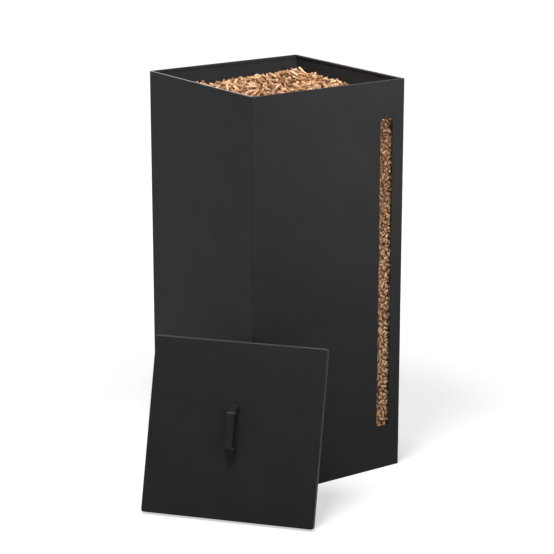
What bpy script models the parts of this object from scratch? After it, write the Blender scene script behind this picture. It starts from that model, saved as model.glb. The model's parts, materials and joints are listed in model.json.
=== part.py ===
"""Pellet storage bin: a tall square sheet-steel bin with a hemmed rim and a viewing slot,
filled with wood pellets, and its loose drop-in lid leaning on the bin's front corner.

Metres, +Z up. The origin is the centre of the bin's underside, on the floor. The slot is in
the -Y wall. Lid pieces are modelled flat, with +Z out of the lid's face and +Y along its
handle, and an empty leans them against the bin.
"""
import math
import random

import bmesh
import bpy
from mathutils import Matrix, Vector
from mathutils.geometry import delaunay_2d_cdt, intersect_line_line_2d, intersect_point_line

for old in list(bpy.data.objects):
    bpy.data.objects.remove(old, do_unlink=True)

# Driving dimensions of the bin
BIN_SIDE = 0.360
BIN_HEIGHT = 0.800
SHEET = 0.0015
HEM_DEPTH = 0.0050
HEM_VOID = 0.0006
BEND_CORE = 0.0009
BASE_FLANGE = 0.020

# Viewing slot, its pane and the strips that clamp the pane
SLOT_WIDTH = 0.030
SLOT_SIDE_MARGIN = 0.027
SLOT_TOP_MARGIN = 0.073
SLOT_BOTTOM_MARGIN = 0.091
SLOT_CORNER = 0.003
PANE_THICKNESS = 0.003
PANE_OVERLAP = 0.0065
CLAMP_SHEET = 0.0012
CLAMP_LIP = 0.0030
CLAMP_FOOT = 0.010
CLAMP_STUDS = 4
CLAMP_END_MARGIN = 0.030
STUD_RADIUS = 0.0015
STUD_FREE_END = 0.0012
STUD_NUT_WALL = 0.00095
STUD_NUT_HEIGHT = 0.0024

# Corner plates that the lid drops onto
LID_SEAT_DROP = 0.024
REST_LEG = 0.036
REST_TIP = 0.006
REST_THICKNESS = 0.002

# Lid and its leaning pose
LID_SIDE_GAP = 0.0054
LID_DEPTH = 0.015
LID_SHEET = 0.0015
LID_BEND = 0.0030
LID_CORNER = 0.0050
LEAN_FACING = math.radians(-50.8)
LEAN_TILT = math.radians(18.4)
LEAN_OFFSET = 0.020

# Handle, a bent flat strip with feet turned in under the grip
HANDLE_WIDTH = 0.016
HANDLE_STRIP = 0.0025
HANDLE_STANDOFF = 0.0285
GRIP_LENGTH = 0.068
HANDLE_SPLAY = 0.017
HANDLE_FOOT = 0.023
HANDLE_BEND = 0.0022
HANDLE_EDGE = 0.0009
FOOT_HOLE_INSET = 0.008
SCREW_RADIUS = 0.002
SCREW_FREE_END = 0.0010
SCREW_HEAD_RADIUS = 0.0038
SCREW_HEAD_HEIGHT = 0.0024
SCREW_SOCKET = 0.0025
SCREW_SOCKET_DEPTH = 0.0015
WASHER_RADIUS = 0.0045
WASHER_THICKNESS = 0.0008
SCREW_NUT_WALL = 0.0012
SCREW_NUT_HEIGHT = 0.0032

# Heap of pellets in the bin: how far its surface lies below the rim, and the pellets strewn on it
HEAP_WALL_DROP = 0.037
HEAP_PEAK_DROP = 0.0150
HEAP_PEAK_X = 0.120
HEAP_PEAK_Y = 0.094
HEAP_SHARPNESS = 1.35
HEAP_CELLS = 18
PELLET_RADIUS = 0.003
PELLET_SHORTEST = 0.012
PELLET_LONGEST = 0.026
PELLET_END_SLOPE = 0.0006
PELLET_SPACING = 0.0008
PELLET_EDGE_MARGIN = 0.010
PELLET_TRIES = 900
PELLET_SEED = 11

# Clearances
FIT_GAP = 0.0003
HOLE_GAP = 0.0003
FILL_GAP = 0.001
CUT_PAST = 0.002
PLAN_MERGE = 0.000001

# Fineness of round shapes
BEND_STEPS = 8
HEM_STEPS = 6
ROUND_STEPS = 24

# Derived sizes
HEM_THICKNESS = 2 * SHEET + HEM_VOID
BEND_OUTSIDE = HEM_THICKNESS + BEND_CORE
HALF = BIN_SIDE / 2
INSIDE = HALF - SHEET
PAN_BEND = 2 * SHEET
FILL_HALF = INSIDE - FIT_GAP - PAN_BEND - FILL_GAP
PELLET_RISE = PELLET_RADIUS * math.sin(math.radians(60))
SLOT_X = HALF - SLOT_SIDE_MARGIN - SLOT_WIDTH / 2
SLOT_LOW = SLOT_BOTTOM_MARGIN
SLOT_HIGH = BIN_HEIGHT - SLOT_TOP_MARGIN
SLOT_MIDDLE = (SLOT_LOW + SLOT_HIGH) / 2
PANE_HALF_WIDTH = SLOT_WIDTH / 2 + PANE_OVERLAP
PANE_LENGTH = SLOT_HIGH - SLOT_LOW + 2 * PANE_OVERLAP
CLAMP_RISER = PANE_HALF_WIDTH + FIT_GAP
CLAMP_LIP_END = CLAMP_RISER - CLAMP_LIP
CLAMP_FOOT_END = CLAMP_RISER + CLAMP_SHEET + CLAMP_FOOT
CLAMP_TOP = 2 * FIT_GAP + PANE_THICKNESS + CLAMP_SHEET
STUD_OFFSET = CLAMP_FOOT_END - CLAMP_FOOT / 2
STUD_HOLE_RADIUS = STUD_RADIUS + HOLE_GAP
STUD_NUT_SEAT = 2 * FIT_GAP + CLAMP_SHEET
STUD_TIP = STUD_NUT_SEAT + STUD_NUT_HEIGHT + STUD_FREE_END
LID_SEAT = BIN_HEIGHT - LID_SEAT_DROP
LID_SIDE = BIN_SIDE - 2 * (HEM_THICKNESS + LID_SIDE_GAP)
GRIP_END = GRIP_LENGTH / 2
FOOT_OUTER = GRIP_END + HANDLE_SPLAY
FOOT_INNER = FOOT_OUTER - HANDLE_FOOT
FOOT_HOLE = FOOT_INNER + FOOT_HOLE_INSET
FOOT_TOP = FIT_GAP + HANDLE_STRIP
SCREW_HOLE_RADIUS = SCREW_RADIUS + HOLE_GAP
WASHER_TOP = -LID_SHEET - FIT_GAP
SCREW_HEAD_TOP = WASHER_TOP - WASHER_THICKNESS - FIT_GAP
SCREW_NUT_SEAT = FOOT_TOP + FIT_GAP
SCREW_TIP = SCREW_NUT_SEAT + SCREW_NUT_HEIGHT + SCREW_FREE_END


def material(name, colour, roughness, metallic=0.0, alpha=1.0):
    """A Principled material with one colour."""
    made = bpy.data.materials.new(name)
    made.use_nodes = True
    shader = made.node_tree.nodes["Principled BSDF"]
    shader.inputs["Base Color"].default_value = (*colour, 1.0)
    shader.inputs["Roughness"].default_value = roughness
    shader.inputs["Metallic"].default_value = metallic
    shader.inputs["Alpha"].default_value = alpha
    return made


def empty(name):
    """An empty that carries a group of pieces."""
    made = bpy.data.objects.new(name, None)
    bpy.context.collection.objects.link(made)
    return made


def piece(name, bm, finish, parent, location=(0, 0, 0), turn=(0, 0, 0), smooth=False):
    """Turn a bmesh into a named object under its parent."""
    bmesh.ops.recalc_face_normals(bm, faces=bm.faces)
    mesh = bpy.data.meshes.new(name)
    bm.to_mesh(mesh)
    bm.free()
    mesh.materials.append(finish)
    if smooth:
        mesh.shade_smooth()
        mesh.set_sharp_from_angle(angle=math.radians(35))
    made = bpy.data.objects.new(name, mesh)
    bpy.context.collection.objects.link(made)
    made.parent = parent
    made.location = location
    made.rotation_euler = turn
    return made


def cut(target, name, bm, location=(0, 0, 0)):
    """Cut a hidden shape out of a piece."""
    cutter = piece(name, bm, target.data.materials[0], target.parent, location)
    cutter.hide_render = True
    cutter.display_type = "WIRE"
    boolean = target.modifiers.new(name, "BOOLEAN")
    boolean.operation = "DIFFERENCE"
    boolean.solver = "EXACT"
    boolean.object = cutter
    return cutter


def loft(rings, closed=False, bm=None):
    """Skin equal rings of points, capping the first and last unless the skin closes on itself."""
    bm = bm or bmesh.new()
    loops = [[bm.verts.new(point) for point in ring] for ring in rings]
    pairs = list(zip(loops, loops[1:]))
    if closed:
        pairs.append((loops[-1], loops[0]))
    for lower, upper in pairs:
        count = len(lower)
        for i in range(count):
            j = (i + 1) % count
            bm.faces.new((lower[i], lower[j], upper[j], upper[i]))
    if not closed:
        bm.faces.new(list(reversed(loops[0])))
        bm.faces.new(loops[-1])
    return bm


def arc(centre, radius, start, stop, steps):
    """Points of an arc in a plane, with its angles in degrees."""
    points = []
    for i in range(steps + 1):
        angle = math.radians(start + (stop - start) * i / steps)
        points.append((centre[0] + radius * math.cos(angle), centre[1] + radius * math.sin(angle)))
    return points


def rounded_rectangle(half_width, half_height, radius):
    """Outline of a rectangle with round corners, anticlockwise about the origin."""
    x = half_width - radius
    y = half_height - radius
    points = []
    for quarter, (side, end) in enumerate(((1, 1), (-1, 1), (-1, -1), (1, -1))):
        points += arc((side * x, end * y), radius, 90 * quarter, 90 * quarter + 90, BEND_STEPS)
    return points


def circle(radius, count=ROUND_STEPS):
    """Outline of a circle."""
    return arc((0, 0), radius, 0, 360 - 360 / count, count - 1)


def hexagon(across, count=ROUND_STEPS):
    """Outline of a hexagon by its width across flats, on as many points as a circle."""
    points = []
    for x, y in circle(1.0, count):
        angle = math.atan2(y, x)
        past_flat = (angle + math.pi / 6) % (math.pi / 3) - math.pi / 6
        reach = across / 2 / math.cos(past_flat)
        points.append((reach * x, reach * y))
    return points


def at(outline, z):
    """An outline raised to a height."""
    return [(x, y, z) for x, y in outline]


def block(low, high, bm=None):
    """A box between two corners."""
    outline = [(low[0], low[1]), (high[0], low[1]), (high[0], high[1]), (low[0], high[1])]
    return loft([at(outline, low[2]), at(outline, high[2])], bm=bm)


def tray(side, depth, sheet, bend, corner):
    """A square plate with folded edges: its face is at z = 0 and its edges reach down."""
    def ring(inset, z):
        half = side / 2 - inset
        return at(rounded_rectangle(half, half, corner - inset), z)

    outer_bend = arc((bend, -bend), bend, 180, 90, BEND_STEPS)
    inner_bend = arc((bend, -bend), bend - sheet, 90, 180, BEND_STEPS)
    section = inner_bend + [(sheet, -depth), (0, -depth)] + outer_bend
    return loft([ring(inset, z) for inset, z in section])


def wall_section():
    """Section of a wall as depth behind its outer face and height, with the hem folded inwards."""
    radius = HEM_THICKNESS / 2
    fold = (radius, BIN_HEIGHT - radius)
    outer = arc(fold, radius, 180, 0, HEM_STEPS)
    inner = arc(fold, HEM_VOID / 2, 0, 180, HEM_STEPS // 2)
    hem_foot = BIN_HEIGHT - HEM_DEPTH
    return (
        [(0, 0)] + outer
        + [(HEM_THICKNESS, hem_foot), (HEM_THICKNESS - SHEET, hem_foot)]
        + inner + [(SHEET, 0)]
    )


def corner_shell(full_end, butt_end):
    """Two walls folded from one sheet: along -Y and up -X, with a bend between them.

    The first wall runs from x = full_end and the second to y = butt_end.
    """
    centre = BEND_OUTSIDE - HALF
    stations = [((full_end, -HALF), (0, 1))]
    for x, y in arc((0, 0), 1.0, 270, 180, BEND_STEPS):
        stations.append(((centre + BEND_OUTSIDE * x, centre + BEND_OUTSIDE * y), (-x, -y)))
    stations.append(((-HALF, butt_end), (1, 0)))
    rings = []
    for (x, y), (inward_x, inward_y) in stations:
        rings.append([(x + inward_x * depth, y + inward_y * depth, z) for depth, z in wall_section()])
    return loft(rings)


def window_slot():
    """The slot's outline, pushed through the front wall."""
    outline = rounded_rectangle(SLOT_WIDTH / 2, (SLOT_HIGH - SLOT_LOW) / 2, SLOT_CORNER)
    rings = [[(x, y, z) for x, z in outline] for y in (-CUT_PAST, SHEET + CUT_PAST)]
    return loft(rings)


def hem_notches():
    """Boxes that end the rear shell's hem where the front shell's hem passes."""
    reach = HEM_THICKNESS + FIT_GAP
    low = BIN_HEIGHT - HEM_DEPTH - FIT_GAP
    high = BIN_HEIGHT + CUT_PAST
    bm = block((HALF - reach, -HALF - CUT_PAST, low), (HALF + CUT_PAST, reach - HALF, high))
    return block((-HALF - CUT_PAST, HALF - reach, low), (reach - HALF, HALF + CUT_PAST, high), bm)


def clamp_strip():
    """Z-section strip along Z: X leads away from the slot's middle, Y inwards from the wall."""
    lip = CLAMP_TOP - CLAMP_SHEET
    foot = FIT_GAP + CLAMP_SHEET
    riser_back = CLAMP_RISER + CLAMP_SHEET
    section = [
        (CLAMP_FOOT_END, FIT_GAP), (CLAMP_FOOT_END, foot), (riser_back, foot),
        (riser_back, CLAMP_TOP), (CLAMP_LIP_END, CLAMP_TOP), (CLAMP_LIP_END, lip),
        (CLAMP_RISER, lip), (CLAMP_RISER, FIT_GAP),
    ]
    return loft([at(section, -PANE_LENGTH / 2), at(section, PANE_LENGTH / 2)])


def stud_heights():
    """Heights of the studs above the slot's middle."""
    reach = PANE_LENGTH / 2 - CLAMP_END_MARGIN
    return [-reach + 2 * reach * i / (CLAMP_STUDS - 1) for i in range(CLAMP_STUDS)]


def stud_holes():
    """Drills for a clamp strip's studs, in the strip's own frame."""
    bm = bmesh.new()
    for height in stud_heights():
        ends = (-CUT_PAST, STUD_NUT_SEAT + CUT_PAST)
        hole = circle(STUD_HOLE_RADIUS)
        loft([[(STUD_OFFSET + x, y, height - z) for x, z in hole] for y in ends], bm=bm)
    return bm


def stud():
    """Weld stud along +Z from the wall, with a chamfered tip."""
    chamfer = STUD_RADIUS / 3
    rings = ((STUD_RADIUS, FIT_GAP), (STUD_RADIUS, STUD_TIP - chamfer), (STUD_RADIUS - chamfer, STUD_TIP))
    return loft([at(circle(radius), z) for radius, z in rings])


def nut(bore, wall, height):
    """Hexagon nut on the XY plane."""
    outside = hexagon(2 * (bore + wall))
    inside = circle(bore)
    return loft([at(outside, 0), at(outside, height), at(inside, height), at(inside, 0)], closed=True)


def washer():
    """Flat washer, downwards from the XY plane."""
    outside = circle(WASHER_RADIUS)
    inside = circle(SCREW_HOLE_RADIUS)
    low = -WASHER_THICKNESS
    return loft([at(outside, low), at(outside, 0), at(inside, 0), at(inside, low)], closed=True)


def screw():
    """Socket screw whose shank points up from its head."""
    face = SCREW_HEAD_TOP - SCREW_HEAD_HEIGHT
    crown = SCREW_HEAD_HEIGHT / 3
    chamfer = SCREW_RADIUS / 4
    socket = hexagon(SCREW_SOCKET)
    rings = [at(socket, face + SCREW_SOCKET_DEPTH), at(socket, face)]
    for radius, z in (
        (SCREW_HEAD_RADIUS - crown, face),
        (SCREW_HEAD_RADIUS, face + crown),
        (SCREW_HEAD_RADIUS, SCREW_HEAD_TOP),
        (SCREW_RADIUS, SCREW_HEAD_TOP),
        (SCREW_RADIUS, SCREW_TIP - chamfer),
        (SCREW_RADIUS - chamfer, SCREW_TIP),
    ):
        rings.append(at(circle(radius), z))
    return loft(rings)


def screw_holes():
    """Drills through the lid and the handle's feet."""
    bm = bmesh.new()
    for side in (-1, 1):
        hole = [(x, y + side * FOOT_HOLE) for x, y in circle(SCREW_HOLE_RADIUS)]
        loft([at(hole, -LID_SHEET - CUT_PAST), at(hole, FOOT_TOP + CUT_PAST)], bm=bm)
    return bm


def lid_rest():
    """Corner plate with clipped tips: its corner is at the origin and its top at z = 0."""
    clip = BEND_OUTSIDE
    outline = [
        (clip, 0), (REST_LEG, 0), (REST_LEG, REST_TIP),
        (REST_TIP, REST_LEG), (0, REST_LEG), (0, clip),
    ]
    return loft([at(outline, -REST_THICKNESS), at(outline, 0)])


def filleted(points, radius):
    """A polyline with an arc at each inner corner."""
    path = [Vector(points[0])]
    for before, here, after in zip(points, points[1:], points[2:]):
        here = Vector(here)
        back = (Vector(before) - here).normalized()
        ahead = (Vector(after) - here).normalized()
        half_angle = back.angle(ahead) / 2
        centre = here + (back + ahead).normalized() * radius / math.sin(half_angle)
        first = here + back * radius / math.tan(half_angle) - centre
        sweep = (math.pi - 2 * half_angle) * (1 if back.cross(ahead) < 0 else -1)
        for i in range(BEND_STEPS + 1):
            turned = Matrix.Rotation(sweep * i / BEND_STEPS, 2) @ first
            path.append(centre + turned)
    path.append(Vector(points[-1]))
    return path


def ribbon(path, thickness):
    """Outline of a strip of even thickness along a path."""
    left = []
    right = []
    for i, point in enumerate(path):
        before = (point - path[i - 1]).normalized() if i else None
        after = (path[i + 1] - point).normalized() if i + 1 < len(path) else before
        before = before or after
        across = Vector((-(before + after).y, (before + after).x)).normalized()
        reach = thickness / 2 / across.dot(Vector((-after.y, after.x)))
        left.append(point + across * reach)
        right.append(point - across * reach)
    return left + right[::-1]


def handle():
    """Trapezoid handle along Y, bent from flat strip, standing on the lid's face."""
    foot = FIT_GAP + HANDLE_STRIP / 2
    grip = HANDLE_STANDOFF - HANDLE_STRIP / 2
    route = [
        (-FOOT_INNER, foot), (-FOOT_OUTER, foot), (-GRIP_END, grip),
        (GRIP_END, grip), (FOOT_OUTER, foot), (FOOT_INNER, foot),
    ]
    outline = ribbon(filleted(route, HANDLE_BEND), HANDLE_STRIP)
    return loft([[(x, y, z) for y, z in outline] for x in (-HANDLE_WIDTH / 2, HANDLE_WIDTH / 2)])


def fill_reach(value, peak):
    """How far a place lies from the heap's peak to the wall, from 0 to 1."""
    span = FILL_HALF - peak if value > peak else FILL_HALF + peak
    return (value - peak) / span


def heap_height(x, y):
    """Height of the heap's surface: a cone with its peak off the middle, level by the walls."""
    fall = math.hypot(fill_reach(x, HEAP_PEAK_X), fill_reach(y, HEAP_PEAK_Y))
    crown = max(1 - fall, 0) ** HEAP_SHARPNESS
    return BIN_HEIGHT - HEAP_WALL_DROP + (HEAP_WALL_DROP - HEAP_PEAK_DROP) * crown


def axis_gap(point, ends):
    """Distance in plan from a point to a straight pellet's axis."""
    share = intersect_point_line(point, *ends)[1]
    return (point - ends[0].lerp(ends[1], min(max(share, 0), 1))).length


def plan_gap(first, second):
    """Least distance in plan between two straight pellets' axes."""
    if intersect_line_line_2d(*first, *second):
        return 0.0
    return min([axis_gap(end, second) for end in first] + [axis_gap(end, first) for end in second])


def strewn_pellets():
    """Ends in plan of the pellets that lie on the heap, strewn at random and clear of each other."""
    draw = random.Random(PELLET_SEED)
    reach = FILL_HALF - PELLET_EDGE_MARGIN
    clear = 2 * PELLET_RADIUS + PELLET_SPACING
    pellets = []
    for _ in range(PELLET_TRIES):
        middle = Vector((draw.uniform(-reach, reach), draw.uniform(-reach, reach)))
        turn = draw.uniform(0, math.pi)
        length = draw.uniform(PELLET_SHORTEST, PELLET_LONGEST)
        half = Vector((math.cos(turn), math.sin(turn))) * length / 2
        ends = (middle - half, middle + half)
        inside = all(abs(value) < reach for end in ends for value in end)
        if inside and all(plan_gap(ends, other) > clear for other in pellets):
            pellets.append(ends)
    return pellets


def pellet_strip(ends, half_width, inset):
    """Corners in plan of a strip along a pellet, short of its ends by an inset."""
    start, stop = ends
    along = (stop - start).normalized()
    across = Vector((-along.y, along.x)) * half_width
    start = start + along * inset
    stop = stop - along * inset
    return [start - across, stop - across, stop + across, start + across]


def heap_grid():
    """Lines of the grid that the heap is drawn on: places along X and along Y."""
    front = max(CLAMP_TOP - CLAMP_SHEET - INSIDE, -FILL_HALF)
    shares = [i / HEAP_CELLS for i in range(HEAP_CELLS + 1)]
    columns = [FILL_HALF * (2 * share - 1) for share in shares]
    rows = [front + (FILL_HALF - front) * share for share in shares]
    return columns, rows


def heap_border(columns, rows):
    """The bulk's outline in plan, with a point at each line of the grid."""
    border = [Vector((x, rows[0])) for x in columns[:-1]]
    border += [Vector((columns[-1], y)) for y in rows[:-1]]
    border += [Vector((x, rows[-1])) for x in columns[:0:-1]]
    border += [Vector((columns[0], y)) for y in rows[:0:-1]]
    return border


def heap_rings():
    """Rings of points in plan that shape the heap's top, each with its rise above the surface.

    A strewn pellet is the upper half of a hexagonal rod: a strip at its foot and one on its top.
    """
    columns, rows = heap_grid()
    pellets = strewn_pellets()
    rings = [(heap_border(columns, rows), 0)]
    for ends in pellets:
        rings.append((pellet_strip(ends, PELLET_RADIUS, 0), 0))
        rings.append((pellet_strip(ends, PELLET_RADIUS / 2, PELLET_END_SLOPE), PELLET_RISE))
    for point in (Vector((x, y)) for x in columns[1:-1] for y in rows[1:-1]):
        if all(axis_gap(point, ends) > PELLET_RADIUS + PELLET_SPACING for ends in pellets):
            rings.append(([point], 0))
    return rings


def heap_skin():
    """The heap's top as one skin of triangles through its rings."""
    points = []
    heights = []
    edges = []
    for ring, rise in heap_rings():
        first = len(points)
        if len(ring) > 1:
            edges += [(first + i, first + (i + 1) % len(ring)) for i in range(len(ring))]
        points += ring
        heights += [heap_height(*point) + rise for point in ring]
    plan, _, triangles, sources, _, _ = delaunay_2d_cdt(points, edges, [], 0, PLAN_MERGE)
    bm = bmesh.new()
    corners = [bm.verts.new((*point, heights[found[0]])) for point, found in zip(plan, sources)]
    for triangle in triangles:
        bm.faces.new([corners[i] for i in triangle])
    return bm


def pellet_block():
    """The pellets' bulk with a heaped top, clear of the walls and the base pan's flanges."""
    bm = heap_skin()
    rim = [edge for edge in bm.edges if edge.is_boundary]
    skirt = bmesh.ops.extrude_edge_only(bm, edges=rim)["geom"]
    for vertex in (item for item in skirt if isinstance(item, bmesh.types.BMVert)):
        vertex.co.z = SHEET + FIT_GAP
    foot = [item for item in skirt if isinstance(item, bmesh.types.BMEdge) and item.is_boundary]
    bmesh.ops.edgeloop_fill(bm, edges=foot)
    return bm


def clamp_room():
    """Room in the pellets for the clamp strips, their studs and nuts."""
    front = -INSIDE - CUT_PAST
    back = STUD_TIP + FIT_GAP - INSIDE
    top = BIN_HEIGHT
    inner = CLAMP_LIP_END - FIT_GAP
    outer = CLAMP_FOOT_END + FIT_GAP
    bm = block((SLOT_X - outer, front, -CUT_PAST), (SLOT_X - inner, back, top))
    return block((SLOT_X + inner, front, -CUT_PAST), (HALF, back, top), bm)


def lean(carrier):
    """Lean the lid's carrier on the bin's front corner, with its lower edge on the floor."""
    facing = Vector((math.sin(LEAN_FACING), -math.cos(LEAN_FACING), 0))
    right = Vector((math.cos(LEAN_FACING), math.sin(LEAN_FACING), 0))
    upright = Vector((0, 0, 1))
    out = facing * math.cos(LEAN_TILT) + upright * math.sin(LEAN_TILT)
    along = upright * math.cos(LEAN_TILT) - facing * math.sin(LEAN_TILT)
    bend = Vector((BEND_OUTSIDE - HALF, BEND_OUTSIDE - HALF, 0))
    touch = bend + facing * (BEND_OUTSIDE + FIT_GAP)
    back_edge = along * LID_SIDE / 2 - out * LID_DEPTH
    centre = touch - right * LEAN_OFFSET - facing * back_edge.dot(facing)
    centre.z = FIT_GAP + LID_SIDE / 2 * math.cos(LEAN_TILT) + LID_DEPTH * math.sin(LEAN_TILT)
    turn = Matrix((right, along, out)).transposed()
    carrier.location = centre
    carrier.rotation_euler = turn.to_euler()


def build_shells(parent, coat):
    """Both folded shells and the pan that closes them below."""
    seam = INSIDE - FIT_GAP
    front = piece("shell_front", corner_shell(HALF, HALF), coat, parent)
    cut(front, "slot_cutter", window_slot(), (SLOT_X, -HALF, SLOT_MIDDLE))
    rear = piece("shell_rear", corner_shell(seam, seam), coat, parent, turn=(0, 0, math.pi))
    cut(rear, "notch_cutter", hem_notches())
    pan = tray(2 * seam, BASE_FLANGE, SHEET, PAN_BEND, BEND_OUTSIDE)
    piece("base_pan", pan, coat, parent, turn=(math.pi, 0, 0))


def build_window(parent, clear, coat, plated):
    """Pane, clamp strips, weld studs and nuts behind the slot."""
    wall = Vector((SLOT_X, -INSIDE, SLOT_MIDDLE))
    half_length = PANE_LENGTH / 2
    low = (-PANE_HALF_WIDTH, FIT_GAP, -half_length)
    high = (PANE_HALF_WIDTH, FIT_GAP + PANE_THICKNESS, half_length)
    piece("window_pane", block(low, high), clear, parent, wall)
    number = 0
    for side, turned in (("left", True), ("right", False)):
        strip = clamp_strip()
        holes = stud_holes()
        if turned:
            for bm in (strip, holes):
                bmesh.ops.scale(bm, vec=(-1, 1, 1), verts=bm.verts)
        clamp = piece(f"pane_clamp_{side}", strip, coat, parent, wall)
        cut(clamp, f"stud_drill_{side}", holes, wall)
        offset = -STUD_OFFSET if turned else STUD_OFFSET
        for height in stud_heights():
            number += 1
            foot = wall + Vector((offset, 0, height))
            inwards = (-math.pi / 2, 0, 0)
            piece(f"clamp_stud_{number}", stud(), plated, parent, foot, inwards, smooth=True)
            seat = foot + Vector((0, STUD_NUT_SEAT, 0))
            hexagonal = nut(STUD_HOLE_RADIUS, STUD_NUT_WALL, STUD_NUT_HEIGHT)
            piece(f"clamp_nut_{number}", hexagonal, plated, parent, seat, inwards)


def build_lid_rests(parent, coat):
    """A corner plate in each corner, level with the lid's seat."""
    corner = INSIDE - FIT_GAP
    for i, (x, y) in enumerate(((-1, -1), (1, -1), (1, 1), (-1, 1))):
        place = (x * corner, y * corner, LID_SEAT)
        piece(f"lid_rest_{i + 1}", lid_rest(), coat, parent, place, (0, 0, i * math.pi / 2))


def build_lid(carrier, coat, plated):
    """Lid tray, handle and the handle's fasteners."""
    panel = tray(LID_SIDE, LID_DEPTH, LID_SHEET, LID_BEND, LID_CORNER)
    panel = piece("lid_panel", panel, coat, carrier, smooth=True)
    drill = cut(panel, "screw_drill", screw_holes())
    strip = piece("lid_handle", handle(), coat, carrier)
    holes = strip.modifiers.new("screw_drill", "BOOLEAN")
    holes.operation = "DIFFERENCE"
    holes.solver = "EXACT"
    holes.object = drill
    bevel = strip.modifiers.new("edges", "BEVEL")
    bevel.width = HANDLE_EDGE
    bevel.segments = 2
    bevel.limit_method = "ANGLE"
    bevel.angle_limit = math.radians(60)
    for number, side in enumerate((-1, 1), start=1):
        y = side * FOOT_HOLE
        piece(f"handle_screw_{number}", screw(), plated, carrier, (0, y, 0), smooth=True)
        piece(f"handle_washer_{number}", washer(), plated, carrier, (0, y, WASHER_TOP))
        hexagonal = nut(SCREW_HOLE_RADIUS, SCREW_NUT_WALL, SCREW_NUT_HEIGHT)
        piece(f"handle_nut_{number}", hexagonal, plated, carrier, (0, y, SCREW_NUT_SEAT))


def build_fill(parent, wood):
    """The pellets, as one solid for their bulk and for those that lie on its top."""
    fill = piece("pellet_fill", pellet_block(), wood, parent)
    cut(fill, "clamp_room", clamp_room())


def main():
    coat = material("black_powder_coat", (0.030, 0.030, 0.031), 0.5)
    clear = material("clear_acrylic", (0.9, 0.92, 0.92), 0.08, alpha=0.2)
    plated = material("zinc_plate", (0.62, 0.62, 0.60), 0.35, metallic=1.0)
    wood = material("wood_pellets", (0.52, 0.27, 0.11), 0.8)
    bin_parent = empty("bin")
    lid_parent = empty("lid")
    lean(lid_parent)
    build_shells(bin_parent, coat)
    build_window(bin_parent, clear, coat, plated)
    build_lid_rests(bin_parent, coat)
    build_fill(bin_parent, wood)
    build_lid(lid_parent, coat, plated)


main()
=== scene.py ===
"""Looks of the pellet storage bin: satin black powder coat on folded sheet steel, loose wood
pellets heaped in the mouth and pressed against the viewing slot, on a plain white floor.

Metres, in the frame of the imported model. Angles are in degrees unless a comment says otherwise.
"""

import json
import math

import bmesh
import bpy
import numpy as np
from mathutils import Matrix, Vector

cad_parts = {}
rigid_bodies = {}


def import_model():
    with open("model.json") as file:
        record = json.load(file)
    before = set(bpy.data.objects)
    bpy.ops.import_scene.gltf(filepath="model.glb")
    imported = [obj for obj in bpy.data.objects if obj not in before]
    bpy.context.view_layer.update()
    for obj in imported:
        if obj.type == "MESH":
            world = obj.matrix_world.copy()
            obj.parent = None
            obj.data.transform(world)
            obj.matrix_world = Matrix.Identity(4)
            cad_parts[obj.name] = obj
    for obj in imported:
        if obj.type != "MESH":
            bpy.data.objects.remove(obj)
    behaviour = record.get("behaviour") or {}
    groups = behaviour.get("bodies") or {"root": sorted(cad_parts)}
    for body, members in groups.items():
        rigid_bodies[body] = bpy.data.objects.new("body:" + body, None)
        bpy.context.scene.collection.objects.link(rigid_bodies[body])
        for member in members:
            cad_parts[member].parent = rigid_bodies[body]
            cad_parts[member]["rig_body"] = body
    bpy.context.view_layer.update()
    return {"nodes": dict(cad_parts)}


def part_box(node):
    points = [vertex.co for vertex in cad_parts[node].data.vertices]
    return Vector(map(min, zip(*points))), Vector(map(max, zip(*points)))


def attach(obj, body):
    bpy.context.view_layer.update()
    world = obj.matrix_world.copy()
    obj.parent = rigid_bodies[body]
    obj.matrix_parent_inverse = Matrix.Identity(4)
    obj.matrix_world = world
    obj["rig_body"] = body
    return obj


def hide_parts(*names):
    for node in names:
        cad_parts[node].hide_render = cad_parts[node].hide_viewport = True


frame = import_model()

# Camera, at the photograph's viewing angle
PHOTO_PIXELS = 554
CAMERA_AZIMUTH = -35.178
CAMERA_DISTANCE = 3.837
CAMERA_HEIGHT = 1.4484
CAMERA_YAW = -0.0364
CAMERA_PITCH = 15.483
CAMERA_FOCAL_PIXELS = 1964.6
SENSOR_WIDTH = 36.0

# Floor and world: the floor's glow rises from near to far, by distance from the bin
FLOOR_SIZE = 60.0
FLOOR_COLOUR = 0.65
FLOOR_MOTTLE = 0.01
FLOOR_CLOUDS = 3.0
FLOOR_GLOW_NEAR = 0.57
FLOOR_GLOW_FAR = 0.88
FLOOR_NEAR = 0.55
FLOOR_FAR = 1.5
WORLD_LEVEL = 0.22
WHITE = (1.0, 1.0, 1.0, 1.0)

# Lamps: place, point aimed at, width, watts and spread
LAMPS = {
    "overhead": ((-0.80, -0.62, 2.4), (-0.05, -0.05, 0.4), 0.6, 34, 180),
    "front_softbox": ((-0.1, -1.9, 1.45), (0.20, -0.18, 0.84), 0.9, 3.5, 36),
    "rim_light": ((-0.25, 1.6, 2.0), (-0.1, 0.0, 0.8), 0.6, 2.5, 60),
}

# Noise: scales are per metre, a relief is a bump's strength and depth, a mottle spans part of the noise
NOISE_DETAIL = 3.0
BUMP_DETAIL = 2.0
MOTTLE_SPAN = (0.3, 0.7)

# Roughness of the floor and of the dark bulk under the pellets
MATT = 0.9
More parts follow.
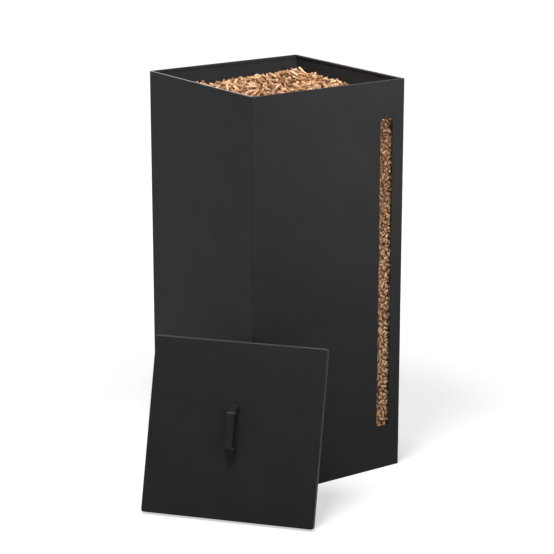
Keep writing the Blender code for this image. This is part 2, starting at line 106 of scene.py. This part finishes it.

# Powder coat on the sheets, and where it flowed smooth over the folds: there it is glossier, and on
# upward folds its colour is painted lighter as a painted highlight
COAT_COLOURS = ((0.0194, 0.0194, 0.0199), (0.0228, 0.0228, 0.0233))
COAT_ROUGHNESS = (0.44, 0.54)
COAT_GLOSS = 0.07
COAT_CLOUDS = 14.0
COAT_SHEEN = 60.0
COAT_PEEL = 420.0
COAT_PEEL_RELIEF = (0.08, 0.0004)
COAT_GRAIN = 2200.0
COAT_GRAIN_RELIEF = (0.10, 0.0001)
# Painted highlight: the folds' colours are lighter than the flat coat's
FOLD_PAINTED_HIGHLIGHT_COLOURS = ((0.0260, 0.0260, 0.0265), (0.0310, 0.0310, 0.0315))
FOLD_ROUGHNESS = (0.30, 0.38)
FOLD_GLOSS = 0.30
FOLD_RELIEF = (0.05, 0.0004)

# Zinc plate
ZINC_COLOURS = ((0.50, 0.50, 0.48), (0.66, 0.66, 0.64))
ZINC_ROUGHNESS = (0.25, 0.42)
ZINC_MOTTLE = 900.0
ZINC_SCRATCHES = 2500.0
ZINC_RELIEF = (0.1, 0.0001)

# Clear acrylic
PANE_COLOURS = ((0.05, 0.052, 0.052), (0.07, 0.072, 0.072))
PANE_ROUGHNESS = (0.03, 0.08)
PANE_OPACITY = 0.04
PANE_IOR = 1.49
PANE_HAZE = 25.0
PANE_RIPPLE = 90.0
PANE_RELIEF = (0.05, 0.0002)

# Pellet wood, from the darkest shade to the palest, with streaks along a pellet and cracks across it
WOOD_TINTS = (
    (0.00, (0.16, 0.065, 0.023)),
    (0.20, (0.353, 0.175, 0.074)),
    (0.45, (0.558, 0.321, 0.167)),
    (0.75, (0.744, 0.493, 0.298)),
    # The palest stop is reached only by the lower pellets behind the pane, painted paler as painted light
    (1.00, (0.98, 0.550, 0.260)),
)
WOOD_ROUGHNESS = (0.32, 0.55)
WOOD_GLOSS = 0.25
STREAK_SCALES = (1500.0, 1500.0, 160.0)
STREAK_DETAIL = 4.0
STREAK_COLOURS = ((0.62, 0.56, 0.50), (1.0, 1.0, 1.0))
STREAK_SPAN = (0.30, 0.60)
STREAK_SHARE = 0.7
STREAK_RELIEF = (0.35, 0.0002)
CRACK_SCALES = (120.0, 120.0, 700.0)
CRACK_COLOURS = ((0.40, 0.30, 0.22), (1.0, 1.0, 1.0))
CRACK_SPAN = (0.30, 0.38)
CRACK_SHARE = 0.6
CRACK_RELIEF = (0.30, 0.0002)

# Pellet dust, coloured dark as painted shade for the depths between the loose pellets
DUST_PAINTED_SHADE_COLOURS = ((0.12, 0.052, 0.020), (0.26, 0.130, 0.060))
DUST_SPAN = (0.35, 0.65)
DUST_MOTTLE = 350.0
DUST_DETAIL = 5.0
DUST_RELIEF = (0.8, 0.002)

# Sheet edges: which are sharp, their rounding, and the upward strips that count as part of a fold and get
# its glossier coat with a painted highlight
SHEET_PIECES = ("shell_front", "shell_rear", "base_pan", "lid_panel", "lid_handle")
PLATED_WORDS = ("stud", "nut", "screw", "washer")
MERGE_DISTANCE = 1e-6
FLAT_ANGLE = 1
SHARP_ANGLE = 60
SMOOTH_ANGLE = 50
EDGE_ROUNDING = 0.0004
EDGE_SEGMENTS = 2
EDGE_PROFILE = 0.5
FLAT_FACE_WEIGHT = 100
FOLD_HIGHLIGHT_STRIP = 0.0020
FOLD_HIGHLIGHT_UPWARD = 0.35

# One pellet: the slant of its ends is a share of its radius
PELLET_RADIUS = 0.0027
PELLET_RADIUS_SHARES = (0.92, 1.0)
PELLET_SIDES = 8
PELLET_CHAMFER = 0.0006
PELLET_SLANT = 0.35

# Pellets settling on each other: a nudge shifts x, y, yaw in radians and slope
PELLET_GRID = 0.001
PELLET_GAP = 0.0003
PELLET_ROLLS = 12
PELLET_NUDGE = (0.0020, 0.0020, 0.25, 0.05)
STEEPEST_SLOPE = 0.9
SEED = 11

# Heap: drops are measured down from the rim, and the surface falls from the peak to the walls
HEAP_WALL_DROP = 0.034
HEAP_PEAK_DROP = 0.0120
HEAP_PEAK = (0.120, 0.094)
HEAP_SHARPNESS = 1.35
HEAP_DEPTH = 0.017
HEAP_DROPS = 10000
HEAP_SLOPE = 0.45
HEAP_HALF_LENGTHS = (0.0060, 0.0135)
HEAP_SHADES = (0.10, 0.86)
# Painted shade: heap pellets are coloured darker the deeper they lie, down to this depth
HEAP_PAINTED_SHADE_DEPTH = 0.0080

# Lumps on the heap: waves in radians per metre, phases in radians, and a random step for each cell
LUMP_HEIGHT = 0.0015
LUMP_WAVES = (52, 47)
LUMP_PHASES = (0.6, -0.4)
CROSS_WAVES = (83, -71)
CROSS_SHARE = 0.6
STEP_HEIGHT = 0.005
STEP_COUNT = 4096
STEP_CELLS_PER_METRE = 170
STEP_STRIDES = (31, 17)

# Pellets behind the pane, with painted light: their shades run from darker at the top to paler at the
# bottom, where less light falls, and painted shade darkens those lying further behind the pane
WINDOW_DEPTH = 0.016
WINDOW_DROPS = 4600
WINDOW_SLOPE = 0.05
WINDOW_BEHIND_CLAMP = 0.0085
WINDOW_HALF_LENGTHS = (0.0035, 0.0075)
WINDOW_PAINTED_LIGHT_SHADES_TOP = (0.00, 0.31)
WINDOW_PAINTED_LIGHT_SHADES_BOTTOM = (0.82, 1.00)
# Painted shade: window pellets are coloured darker the further behind the pane they lie, down to this
# depth
WINDOW_PAINTED_SHADE_DEPTH = 0.035

# Bulk under the loose pellets
CORE_CELLS = 24
CORE_DROP = 0.013
CORE_SETBACK = 0.010

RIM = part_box("shell_front")[1].z
WALL_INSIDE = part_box("base_pan")[1].x


def link(made):
    """Put an object into the scene."""
    bpy.context.scene.collection.objects.link(made)
    return made


def build_camera():
    """Camera at the photograph's place, looking down a little, with no shift."""
    azimuth = math.radians(CAMERA_AZIMUTH)
    data = bpy.data.cameras.new("camera")
    data.sensor_width = SENSOR_WIDTH
    data.lens = CAMERA_FOCAL_PIXELS / PHOTO_PIXELS * SENSOR_WIDTH
    camera = link(bpy.data.objects.new("camera", data))
    reach = Vector((math.sin(azimuth), -math.cos(azimuth), 0)) * CAMERA_DISTANCE
    camera.location = reach + Vector((0, 0, CAMERA_HEIGHT))
    turn = math.radians(CAMERA_AZIMUTH + CAMERA_YAW)
    camera.rotation_euler = (math.radians(90 - CAMERA_PITCH), 0, turn)
    bpy.context.scene.camera = camera


class Nodes:
    """Short way to build a shader's node tree."""

    def __init__(self, owner):
        owner.use_nodes = True
        self.owner = owner
        self.tree = owner.node_tree

    @classmethod
    def material(cls, name):
        """The nodes of a new material."""
        made = cls(bpy.data.materials.new(name))
        made.shader = made.tree.nodes["Principled BSDF"]
        return made

    def add(self, kind, **settings):
        """A node, with inputs given by name and other settings as attributes."""
        node = self.tree.nodes.new(kind)
        for key, value in settings.items():
            if key in node.inputs:
                node.inputs[key].default_value = value
            else:
                setattr(node, key, value)
        return node

    def link(self, source, target):
        """Join an output to an input."""
        self.tree.links.new(source, target)

    def set(self, **values):
        """Constants on the shader's own sockets."""
        for name, value in values.items():
            self.shader.inputs[name.replace("_", " ")].default_value = value

    def drive(self, **sources):
        """Node outputs into the shader's sockets."""
        for name, source in sources.items():
            self.link(source, self.shader.inputs[name.replace("_", " ")])

    def place(self):
        """Position in the object's own space."""
        return self.add("ShaderNodeTexCoord").outputs["Object"]

    def attribute(self, name, output):
        """An attribute of the mesh."""
        return self.add("ShaderNodeAttribute", attribute_name=name).outputs[output]

    def noise(self, scale, detail=NOISE_DETAIL):
        """Noise over the object."""
        node = self.add("ShaderNodeTexNoise", Scale=scale, Detail=detail)
        self.link(self.place(), node.inputs["Vector"])
        return node.outputs["Fac"]

    def stretched_noise(self, space, scales, detail=NOISE_DETAIL):
        """Noise over a space, with its own scale along each axis."""
        stretch = self.add("ShaderNodeMapping", Scale=scales)
        self.link(space, stretch.inputs["Vector"])
        node = self.add("ShaderNodeTexNoise", Scale=1.0, Detail=detail)
        self.link(stretch.outputs["Vector"], node.inputs["Vector"])
        return node.outputs["Fac"]

    def ramp(self, factor, stops):
        """Colour ramp from (position, colour) stops."""
        node = self.add("ShaderNodeValToRGB")
        elements = node.color_ramp.elements
        while len(elements) < len(stops):
            elements.new(1.0)
        for element, (position, colour) in zip(elements, stops):
            element.position = position
            element.color = (*colour, 1.0)
        self.link(factor, node.inputs["Fac"])
        return node.outputs["Color"]

    def blend(self, factor, colours, span=MOTTLE_SPAN):
        """Two colours, blended over a span of the factor."""
        return self.ramp(factor, tuple(zip(span, colours)))

    def spread(self, factor, low, high, start=0.0, stop=1.0):
        """A factor mapped from start..stop to low..high."""
        node = self.add("ShaderNodeMapRange")
        for name, value in (("From Min", start), ("From Max", stop), ("To Min", low), ("To Max", high)):
            node.inputs[name].default_value = value
        self.link(factor, node.inputs["Value"])
        return node.outputs["Result"]

    def maths(self, operation, first, second):
        """Two values joined by an operation."""
        node = self.add("ShaderNodeMath", operation=operation)
        self.link(first, node.inputs[0])
        self.link(second, node.inputs[1])
        return node.outputs[0]

    def multiply(self, first, second, share):
        """Two colours multiplied, by a share."""
        node = self.add("ShaderNodeMix", data_type="RGBA", blend_type="MULTIPLY", Factor=share)
        self.link(first, node.inputs["A"])
        self.link(second, node.inputs["B"])
        return node.outputs["Result"]

    def bump(self, height, relief, below=None):
        """A bumpy normal, on top of another one if that is given."""
        strength, depth = relief
        node = self.add("ShaderNodeBump", Strength=strength, Distance=depth)
        self.link(height, node.inputs["Height"])
        if below is not None:
            self.link(below, node.inputs["Normal"])
        return node.outputs["Normal"]

    def seen(self):
        """1 for rays from the camera, from a mirror or through glass, else 0."""
        path = self.add("ShaderNodeLightPath")
        seen = path.outputs["Is Camera Ray"]
        for other in ("Is Glossy Ray", "Is Transmission Ray"):
            seen = self.maths("MAXIMUM", seen, path.outputs[other])
        return seen


def powder_coat():
    """Satin black powder coat: fine orange peel, faint cloudiness."""
    nodes = Nodes.material("black_powder_coat")
    peel = nodes.bump(nodes.noise(COAT_PEEL, BUMP_DETAIL), COAT_PEEL_RELIEF)
    nodes.drive(
        Base_Color=nodes.blend(nodes.noise(COAT_CLOUDS), COAT_COLOURS),
        Roughness=nodes.spread(nodes.noise(COAT_SHEEN), *COAT_ROUGHNESS),
        Normal=nodes.bump(nodes.noise(COAT_GRAIN, BUMP_DETAIL), COAT_GRAIN_RELIEF, below=peel),
    )
    nodes.set(Specular_IOR_Level=COAT_GLOSS)
    return nodes.owner


def fold_coat_painted_highlight():
    """The same coat where it flowed smooth over folds and edges: glossier, and painted lighter as a
    painted highlight.
    """
    nodes = Nodes.material("black_powder_coat_folds")
    cloud = nodes.noise(COAT_SHEEN)
    nodes.drive(
        Base_Color=nodes.blend(cloud, FOLD_PAINTED_HIGHLIGHT_COLOURS),
        Roughness=nodes.spread(cloud, *FOLD_ROUGHNESS),
        Normal=nodes.bump(nodes.noise(COAT_PEEL, BUMP_DETAIL), FOLD_RELIEF),
    )
    nodes.set(Specular_IOR_Level=FOLD_GLOSS)
    return nodes.owner


def zinc_plate():
    """Bright zinc plate with a faint mottle."""
    nodes = Nodes.material("zinc_plate")
    mottle = nodes.noise(ZINC_MOTTLE)
    nodes.drive(
        Base_Color=nodes.blend(mottle, ZINC_COLOURS),
        Roughness=nodes.spread(mottle, *ZINC_ROUGHNESS),
        Normal=nodes.bump(nodes.noise(ZINC_SCRATCHES), ZINC_RELIEF),
    )
    nodes.set(Metallic=1.0)
    return nodes.owner


def clear_acrylic():
    """Clear pane, nearly unseen, with a faint ripple."""
    nodes = Nodes.material("clear_acrylic")
    haze = nodes.noise(PANE_HAZE)
    nodes.drive(
        Base_Color=nodes.blend(haze, PANE_COLOURS),
        Roughness=nodes.spread(haze, *PANE_ROUGHNESS),
        Normal=nodes.bump(nodes.noise(PANE_RIPPLE), PANE_RELIEF),
    )
    nodes.set(Alpha=PANE_OPACITY, IOR=PANE_IOR)
    return nodes.owner


def pellet_wood():
    """Pressed wood: each pellet has its own shade, with streaks along it and cracks across it."""
    nodes = Nodes.material("wood_pellets")
    grain = nodes.attribute("grain", "Vector")
    streak = nodes.stretched_noise(grain, STREAK_SCALES, STREAK_DETAIL)
    crack = nodes.stretched_noise(grain, CRACK_SCALES)
    tint = nodes.ramp(nodes.attribute("shade", "Fac"), WOOD_TINTS)
    streaked = nodes.multiply(tint, nodes.blend(streak, STREAK_COLOURS, STREAK_SPAN), STREAK_SHARE)
    ridges = nodes.bump(streak, STREAK_RELIEF)
    nodes.drive(
        Base_Color=nodes.multiply(streaked, nodes.blend(crack, CRACK_COLOURS, CRACK_SPAN), CRACK_SHARE),
        Roughness=nodes.spread(streak, *WOOD_ROUGHNESS),
        Normal=nodes.bump(crack, CRACK_RELIEF, below=ridges),
    )
    nodes.set(Specular_IOR_Level=WOOD_GLOSS)
    return nodes.owner


def pellet_dust_painted_shade():
    """Dark bulk seen between the loose pellets: a dusty mottle, coloured dark as painted shade for the
    depths between them.
    """
    nodes = Nodes.material("pellet_dust_painted_shade")
    mottle = nodes.noise(DUST_MOTTLE, DUST_DETAIL)
    nodes.drive(
        Base_Color=nodes.blend(mottle, DUST_PAINTED_SHADE_COLOURS, DUST_SPAN),
        Normal=nodes.bump(mottle, DUST_RELIEF),
    )
    nodes.set(Roughness=MATT)
    return nodes.owner


def floor_white():
    """White floor: it takes the lamps' shadows, and glows to white where it is seen."""
    nodes = Nodes.material("studio_floor")
    greys = ((FLOOR_COLOUR - FLOOR_MOTTLE,) * 3, (FLOOR_COLOUR,) * 3)
    length = nodes.add("ShaderNodeVectorMath", operation="LENGTH")
    nodes.link(nodes.place(), length.inputs[0])
    glow = nodes.spread(length.outputs["Value"], FLOOR_GLOW_NEAR, FLOOR_GLOW_FAR, FLOOR_NEAR, FLOOR_FAR)
    nodes.drive(
        Base_Color=nodes.blend(nodes.noise(FLOOR_CLOUDS), greys),
        Emission_Strength=nodes.maths("MULTIPLY", glow, nodes.seen()),
    )
    nodes.set(Roughness=MATT, Specular_IOR_Level=0.0, Emission_Color=WHITE)
    return nodes.owner


def build_lamp(name, place, target, width, watts, spread):
    """A square soft lamp aimed at a point, with its light held to a spread."""
    data = bpy.data.lights.new(name, "AREA")
    data.size = width
    data.energy = watts
    data.spread = math.radians(spread)
    lamp = link(bpy.data.objects.new(name, data))
    lamp.location = place
    lamp.rotation_euler = (Vector(target) - Vector(place)).to_track_quat("-Z", "Y").to_euler()


def build_studio():
    """Floor, world and soft lamps."""
    bm = bmesh.new()
    bmesh.ops.create_grid(bm, x_segments=1, y_segments=1, size=FLOOR_SIZE / 2)
    mesh = bpy.data.meshes.new("studio_floor")
    bm.to_mesh(mesh)
    bm.free()
    mesh.materials.append(floor_white())
    link(bpy.data.objects.new("studio_floor", mesh))

    nodes = Nodes(bpy.data.worlds.new("studio"))
    background = nodes.tree.nodes["Background"]
    background.inputs["Color"].default_value = WHITE
    nodes.link(nodes.spread(nodes.seen(), WORLD_LEVEL, 1.0), background.inputs["Strength"])
    bpy.context.scene.world = nodes.owner

    for name, settings in LAMPS.items():
        build_lamp(name, *settings)


def softened(node, finish, fold_finish_painted_highlight):
    """A copy of a CAD node with its sharp edges rounded, standing for the node."""
    source = frame["nodes"][node]
    bm = bmesh.new()
    bm.from_mesh(source.data)
    bmesh.ops.remove_doubles(bm, verts=bm.verts, dist=MERGE_DISTANCE)
    bmesh.ops.dissolve_limit(bm, angle_limit=math.radians(FLAT_ANGLE), verts=bm.verts, edges=bm.edges)
    least = math.radians(SHARP_ANGLE)
    sharp = [edge for edge in bm.edges if edge.is_manifold and edge.calc_face_angle() > least]
    bmesh.ops.bevel(
        bm, geom=sharp, offset=EDGE_ROUNDING, offset_type="OFFSET", segments=EDGE_SEGMENTS,
        profile=EDGE_PROFILE, affect="EDGES", clamp_overlap=True,
    )
    # Narrow upward strips get the fold finish: a glossier coat with a painted highlight
    for face in bm.faces:
        width = 2 * face.calc_area() / face.calc_perimeter()
        face.material_index = 1 if width < FOLD_HIGHLIGHT_STRIP and face.normal.z > FOLD_HIGHLIGHT_UPWARD else 0
    name = node + "_finish"
    mesh = bpy.data.meshes.new(name)
    bm.to_mesh(mesh)
    bm.free()
    mesh.shade_smooth()
    mesh.set_sharp_from_angle(angle=math.radians(SMOOTH_ANGLE))
    mesh.materials.append(finish)
    mesh.materials.append(fold_finish_painted_highlight)
    made = link(bpy.data.objects.new(name, mesh))
    weighted = made.modifiers.new("flat_faces", "WEIGHTED_NORMAL")
    weighted.keep_sharp = True
    weighted.weight = FLAT_FACE_WEIGHT
    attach(made, source["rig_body"])
    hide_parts(node)


def build_finishes():
    """Give every CAD node its finish, and the sheet pieces rounded edges."""
    coat = powder_coat()
    folds_painted_highlight = fold_coat_painted_highlight()
    plated = zinc_plate()
    clear = clear_acrylic()
    for name, node in frame["nodes"].items():
        finish = coat
        if name == "window_pane":
            finish = clear
        elif any(word in name for word in PLATED_WORDS):
            finish = plated
        node.data.materials.clear()
        node.data.materials.append(finish)
    for name in SHEET_PIECES:
        softened(name, coat, folds_painted_highlight)


class Pile:
    """Pellets dropped one by one onto a height grid, each settling on what lies under it."""

    def __init__(self, low, high, bed, ceiling, lengths, slope, rng):
        self.low = np.array(low, float)
        self.high = np.array(high, float)
        count = np.ceil((self.high - self.low) / PELLET_GRID).astype(int) + 1
        self.x = self.low[0] + np.arange(count[0]) * PELLET_GRID
        self.y = self.low[1] + np.arange(count[1]) * PELLET_GRID
        grid = (self.x[:, None], self.y[None, :])
        self.height = bed(*grid) + np.zeros(count)
        self.ceiling = ceiling(*grid) + np.zeros(count)
        self.lengths = lengths
        self.slope = slope
        self.rng = rng
        self.pellets = []

    def settled(self, spot, half):
        """A pellet laid at a spot (x, y, yaw, slope), or None if it has no room there.

        Gives its height measured from the ceiling, the patch of the grid under it, the patch's new
        heights, and its row: centre, axis and half length.
        """
        centre = spot[:2]
        along = np.array((math.cos(spot[2]), math.sin(spot[2])))
        reach = np.abs(along) * half + np.abs(along[::-1]) * PELLET_RADIUS
        if np.any(centre - reach < self.low) or np.any(centre + reach > self.high):
            return None
        cell = tuple(np.rint((centre - self.low) / PELLET_GRID).astype(int))
        if self.height[cell] + PELLET_RADIUS > self.ceiling[cell]:
            return None

        first = np.floor((centre - reach - self.low) / PELLET_GRID).astype(int)
        last = np.ceil((centre + reach - self.low) / PELLET_GRID).astype(int) + 1
        patch = np.s_[first[0]:last[0], first[1]:last[1]]
        ground = self.height[patch]
        off_x = self.x[patch[0]][:, None] - centre[0]
        off_y = self.y[patch[1]][None, :] - centre[1]
        lengthwise = off_x * along[0] + off_y * along[1]
        crosswise = off_y * along[0] - off_x * along[1]
        under = (np.abs(lengthwise) <= half) & (np.abs(crosswise) < PELLET_RADIUS)
        belly = np.sqrt(np.maximum(PELLET_RADIUS ** 2 - crosswise ** 2, 0))

        need = ground + belly
        tail = np.argmax(np.where(under & (lengthwise < 0), need, -np.inf))
        head = np.argmax(np.where(under & (lengthwise >= 0), need, -np.inf))
        apart = max(lengthwise.flat[head] - lengthwise.flat[tail], PELLET_RADIUS)
        slope = (need.flat[head] - need.flat[tail]) / apart + spot[3]
        slope = float(np.clip(slope, -STEEPEST_SLOPE, STEEPEST_SLOPE))
        level = float((need - slope * lengthwise)[under].max()) + PELLET_GAP
        rise = level - self.ceiling[cell]
        if rise > 0:
            return None
        axis = np.array((along[0], along[1], slope))
        pellet = (*centre, level, *(axis / np.linalg.norm(axis)), half)
        top = np.maximum(ground, level + slope * lengthwise + belly)
        return rise, patch, np.where(under, top, ground), pellet

    def drop(self):
        """Drop a pellet at a random place and let it roll a little to where it lies lower."""
        half = self.rng.uniform(*self.lengths)
        spot = self.rng.uniform((*self.low, 0, -self.slope), (*self.high, math.pi, self.slope))
        best = self.settled(spot, half)
        if best is None:
            return
        for nudge in self.rng.normal(0, PELLET_NUDGE, (PELLET_ROLLS, len(PELLET_NUDGE))):
            rolled = self.settled(spot + nudge, half)
            if rolled and rolled[0] < best[0]:
                spot, best = spot + nudge, rolled
        _, patch, height, pellet = best
        self.height[patch] = height
        self.pellets.append(pellet)

    def rows(self, drops):
        """Pellets after a number of drops, one row each: centre, axis and half length."""
        for _ in range(drops):
            self.drop()
        return np.array(self.pellets)


def pellet_rings(half, rng):
    """Four rings of corners for each pellet, in its own axes: chamfered and slanting ends."""
    count = len(half)
    radius = PELLET_RADIUS * rng.uniform(*PELLET_RADIUS_SHARES, count)
    slants = rng.uniform(-PELLET_SLANT, PELLET_SLANT, (count, 2, 2)) * radius[:, None, None]
    spin = rng.uniform(0, math.pi, count)
    angle = spin[:, None] + np.arange(PELLET_SIDES) * 2 * math.pi / PELLET_SIDES
    narrow = 1 - PELLET_CHAMFER / PELLET_RADIUS
    tip_then_body = ((0.0, narrow), (PELLET_CHAMFER, 1.0))
    rings = []
    for end, slant in zip((-1, 1), (slants[:, 0], slants[:, 1])):
        for inset, scale in tip_then_body[::-end]:
            cosine = np.cos(angle) * scale
            sine = np.sin(angle) * scale
            middle = end * (half - inset - np.abs(slant).sum(1))[:, None]
            lengthwise = middle + slant[:, :1] * cosine + slant[:, 1:] * sine
            rings.append(np.stack((cosine * radius[:, None], sine * radius[:, None], lengthwise), axis=2))
    return np.stack(rings, axis=1)


def pellet_faces(count, ring_count):
    """Corner numbers of every pellet's sides and two ends."""
    per_pellet = ring_count * PELLET_SIDES
    faces = []
    for start in range(0, count * per_pellet, per_pellet):
        for low in range(start, start + per_pellet - PELLET_SIDES, PELLET_SIDES):
            high = low + PELLET_SIDES
            for corner in range(PELLET_SIDES):
                beside = (corner + 1) % PELLET_SIDES
                faces.append((low + corner, low + beside, high + beside, high + corner))
        faces.append(tuple(range(start + PELLET_SIDES - 1, start - 1, -1)))
        faces.append(tuple(range(start + per_pellet - PELLET_SIDES, start + per_pellet)))
    return faces


def pellet_piece(name, rows, shade, rng, wood):
    """One mesh of many pellets, each a little different."""
    count = len(rows)
    centre, axis, half = rows[:, 0:3], rows[:, 3:6], rows[:, 6]
    side = np.cross(axis, (0.0, 0.0, 1.0))
    side /= np.linalg.norm(side, axis=1)[:, None]
    pellet_axes = np.stack((side, np.cross(side, axis), axis), axis=1)
    local = pellet_rings(half, rng)
    corners = np.einsum("prak,pkj->praj", local, pellet_axes) + centre[:, None, None, :]
    ring_count = local.shape[1]

    mesh = bpy.data.meshes.new(name)
    mesh.from_pydata(corners.reshape(-1, 3).tolist(), [], pellet_faces(count, ring_count))
    shades = mesh.attributes.new("shade", "FLOAT", "POINT")
    shades.data.foreach_set("value", np.repeat(shade, ring_count * PELLET_SIDES).astype(np.float32))
    offsets = rng.uniform(-1, 1, (count, 1, 1, 3))
    grain = mesh.attributes.new("grain", "FLOAT_VECTOR", "POINT")
    grain.data.foreach_set("vector", (local + offsets).astype(np.float32).ravel())
    mesh.materials.append(wood)
    mesh.shade_smooth()
    mesh.set_sharp_from_angle(angle=math.radians(SMOOTH_ANGLE))
    made = link(bpy.data.objects.new(name, mesh))
    return made


def heap_share(value, peak):
    """How far a place lies from the heap's peak to the wall, 0 at the peak and 1 or -1 at a wall."""
    to_wall = np.where(value > peak, WALL_INSIDE - peak, WALL_INSIDE + peak)
    return (value - peak) / to_wall


def heap_surface(x, y):
    """Height of the heap's surface: crowned and a little lumpy, falling to the walls."""
    fall = np.hypot(heap_share(x, HEAP_PEAK[0]), heap_share(y, HEAP_PEAK[1]))
    crown = np.maximum(1 - fall, 0) ** HEAP_SHARPNESS
    lumps = np.sin(LUMP_WAVES[0] * x + LUMP_PHASES[0]) * np.cos(LUMP_WAVES[1] * y + LUMP_PHASES[1])
    lumps = lumps + CROSS_SHARE * np.sin(CROSS_WAVES[0] * x + CROSS_WAVES[1] * y)
    return RIM - HEAP_WALL_DROP + (HEAP_WALL_DROP - HEAP_PEAK_DROP) * crown + LUMP_HEIGHT * lumps


def build_heap(rng, wood):
    """Loose pellets heaped in the mouth, with painted shade: darker the deeper they lie."""
    steps = STEP_HEIGHT * (rng.uniform(size=(STEP_COUNT,)) - 0.5)

    def ceiling(x, y):
        column = np.abs(np.rint(x * STEP_CELLS_PER_METRE)) * STEP_STRIDES[0]
        row = np.abs(np.rint(y * STEP_CELLS_PER_METRE)) * STEP_STRIDES[1]
        return heap_surface(x, y) - PELLET_RADIUS + steps[(column + row).astype(int) % STEP_COUNT]

    def bed(x, y):
        return heap_surface(x, y) - HEAP_DEPTH

    corner = np.array((WALL_INSIDE, WALL_INSIDE))
    pile = Pile(-corner, corner, bed, ceiling, HEAP_HALF_LENGTHS, HEAP_SLOPE, rng)
    rows = pile.rows(HEAP_DROPS)
    # Painted shade: each pellet's colour darkens with its depth below the heap's surface
    sunk = heap_surface(rows[:, 0], rows[:, 1]) - PELLET_RADIUS - rows[:, 2]
    painted_unshaded_share = np.clip(1 - sunk / HEAP_PAINTED_SHADE_DEPTH, 0, 1)
    shade = rng.uniform(*HEAP_SHADES, len(rows)) * painted_unshaded_share
    return pellet_piece("pellet_heap", rows, shade, rng, wood)


def build_window_pellets(rng, wood):
    """Pellets pressed against the pane, packed as if they lay on it and then turned upright."""
    low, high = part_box("window_pane")
    clamp_low, clamp_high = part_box("pane_clamp_right")
    middle = (low.x + high.x) / 2
    clear = clamp_low.x - middle - PELLET_GAP
    corner = np.array((clear + WINDOW_BEHIND_CLAMP, (high.z - low.z) / 2))

    def bed(x, y):
        return np.where(np.abs(x) > clear, clamp_high.y - high.y, 0)

    def ceiling(x, y):
        return WINDOW_DEPTH

    pile = Pile(-corner, corner, bed, ceiling, WINDOW_HALF_LENGTHS, WINDOW_SLOPE, rng)
    rows = pile.rows(WINDOW_DROPS)
    # Painted light: the range of shades moves from darker at the top to paler at the bottom, where less
    # light falls
    lowness = rows[:, 1:2] / corner[1] / 2 + 0.5
    painted_light_shades = np.array(WINDOW_PAINTED_LIGHT_SHADES_TOP) * (1 - lowness) + np.array(WINDOW_PAINTED_LIGHT_SHADES_BOTTOM) * lowness
    # Painted shade: pellets lying further behind the pane are coloured darker
    painted_unshaded_share = np.clip(1 - (rows[:, 2] - PELLET_RADIUS) / WINDOW_PAINTED_SHADE_DEPTH, 0, 1)
    shade = rng.uniform(painted_light_shades[:, 0], painted_light_shades[:, 1]) * painted_unshaded_share
    made = pellet_piece("pellet_window", rows, shade, rng, wood)
    made.rotation_euler = (-math.pi / 2, 0, 0)
    made.location = (middle, high.y + PELLET_GAP, (low.z + high.z) / 2)
    return made


def build_core():
    """The bulk below the loose pellets, set back from the pane."""
    low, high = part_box("pellet_fill")
    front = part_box("window_pane")[1].y + CORE_SETBACK
    bm = bmesh.new()
    bmesh.ops.create_grid(bm, x_segments=CORE_CELLS, y_segments=CORE_CELLS, size=high.x)
    for vertex in bm.verts:
        vertex.co.z = float(heap_surface(vertex.co.x, vertex.co.y)) - CORE_DROP
        vertex.co.y = max(vertex.co.y, front)
    rim = [edge for edge in bm.edges if edge.is_boundary]
    skirt = bmesh.ops.extrude_edge_only(bm, edges=rim)["geom"]
    for vertex in (item for item in skirt if isinstance(item, bmesh.types.BMVert)):
        vertex.co.z = low.z
    foot = [item for item in skirt if isinstance(item, bmesh.types.BMEdge) and item.is_boundary]
    bmesh.ops.edgeloop_fill(bm, edges=foot)
    bmesh.ops.recalc_face_normals(bm, faces=bm.faces)
    mesh = bpy.data.meshes.new("pellet_core")
    bm.to_mesh(mesh)
    bm.free()
    mesh.materials.append(pellet_dust_painted_shade())
    made = link(bpy.data.objects.new("pellet_core", mesh))
    return made


def build_pellets():
    """Everything that stands for the bin's fill."""
    rng = np.random.default_rng(SEED)
    wood = pellet_wood()
    for made in (build_heap(rng, wood), build_window_pellets(rng, wood), build_core()):
        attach(made, "bin")
        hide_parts("pellet_fill")


bpy.context.scene.view_settings.view_transform = "Standard"
build_camera()
build_studio()
build_finishes()
build_pellets()
